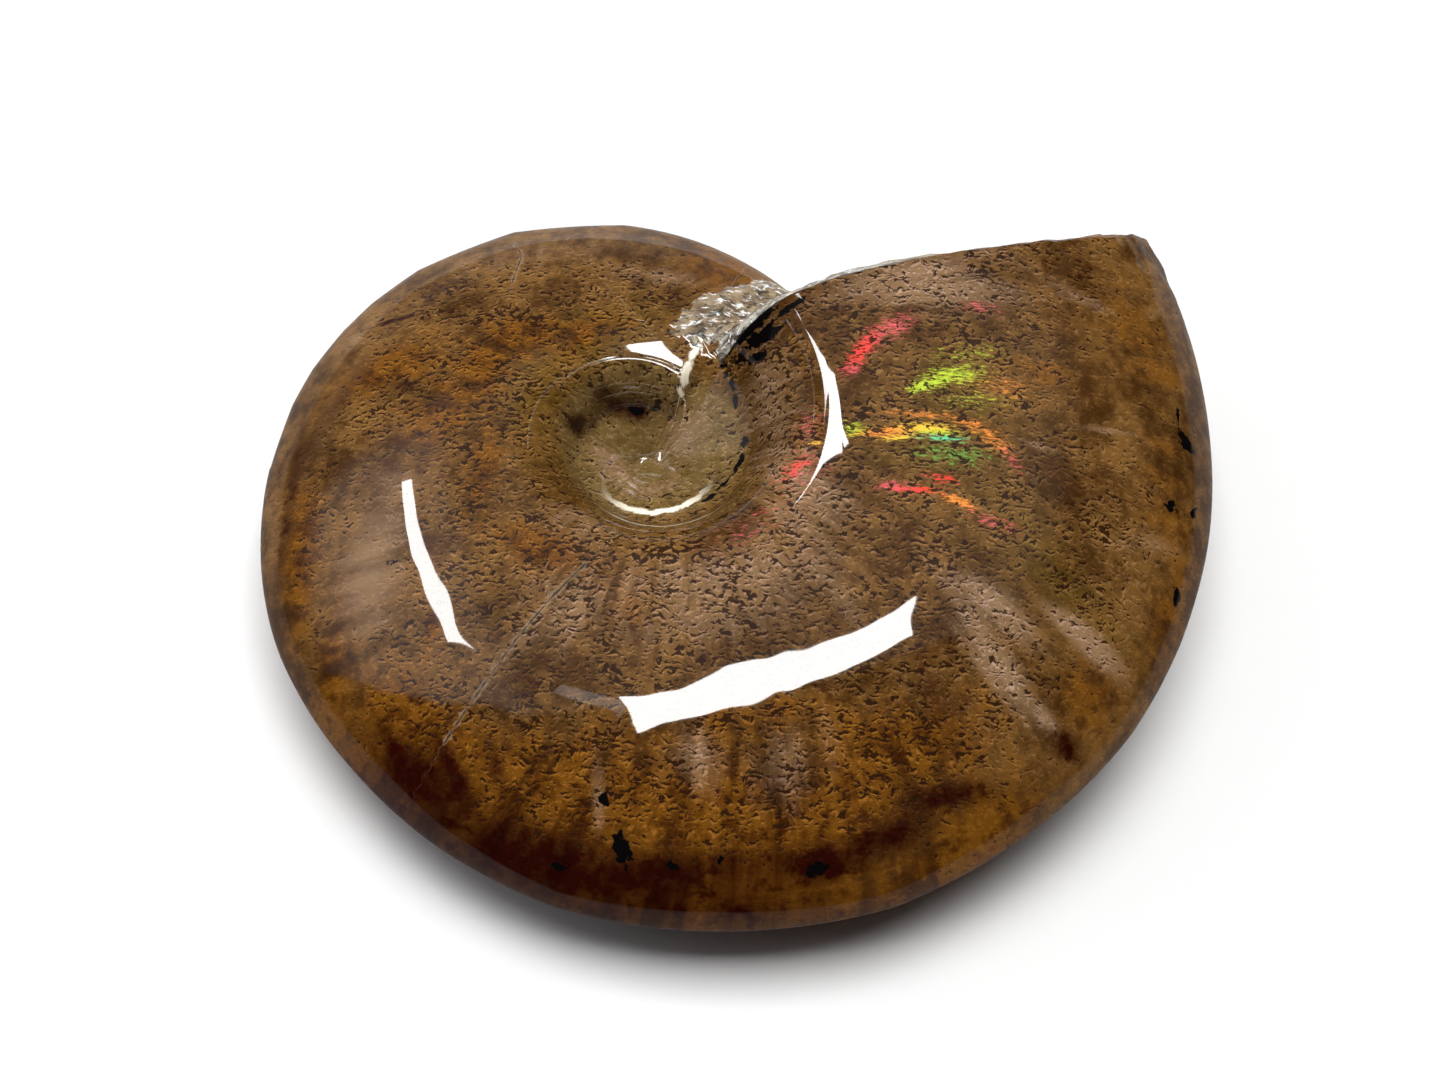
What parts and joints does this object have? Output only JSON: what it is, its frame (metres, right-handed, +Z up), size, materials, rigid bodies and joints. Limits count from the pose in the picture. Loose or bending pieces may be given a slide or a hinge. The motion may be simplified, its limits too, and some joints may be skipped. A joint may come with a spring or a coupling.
{
  "type": "polished ammonite fossil",
  "caption": "Polished whole ammonite fossil: a lens-shaped coiled shell with a narrow umbilicus and a swept mouth, lying on its flank.",
  "frame": {"origin": "on the surface that the stone rests on, under the middle of its bounding box", "axes": "+X along the longest way across the coil, towards the mouth's side; +Y across the coil, towards the mouth; +Z up, through the coil's flanks"},
  "size_m": [0.045, 0.0356, 0.0136],
  "materials": {
    "polished_fossil": "polished to a high gloss"
  },
  "bodies": {
    "root": {"ammonite": "polished_fossil"}
  },
  "joints": []
}
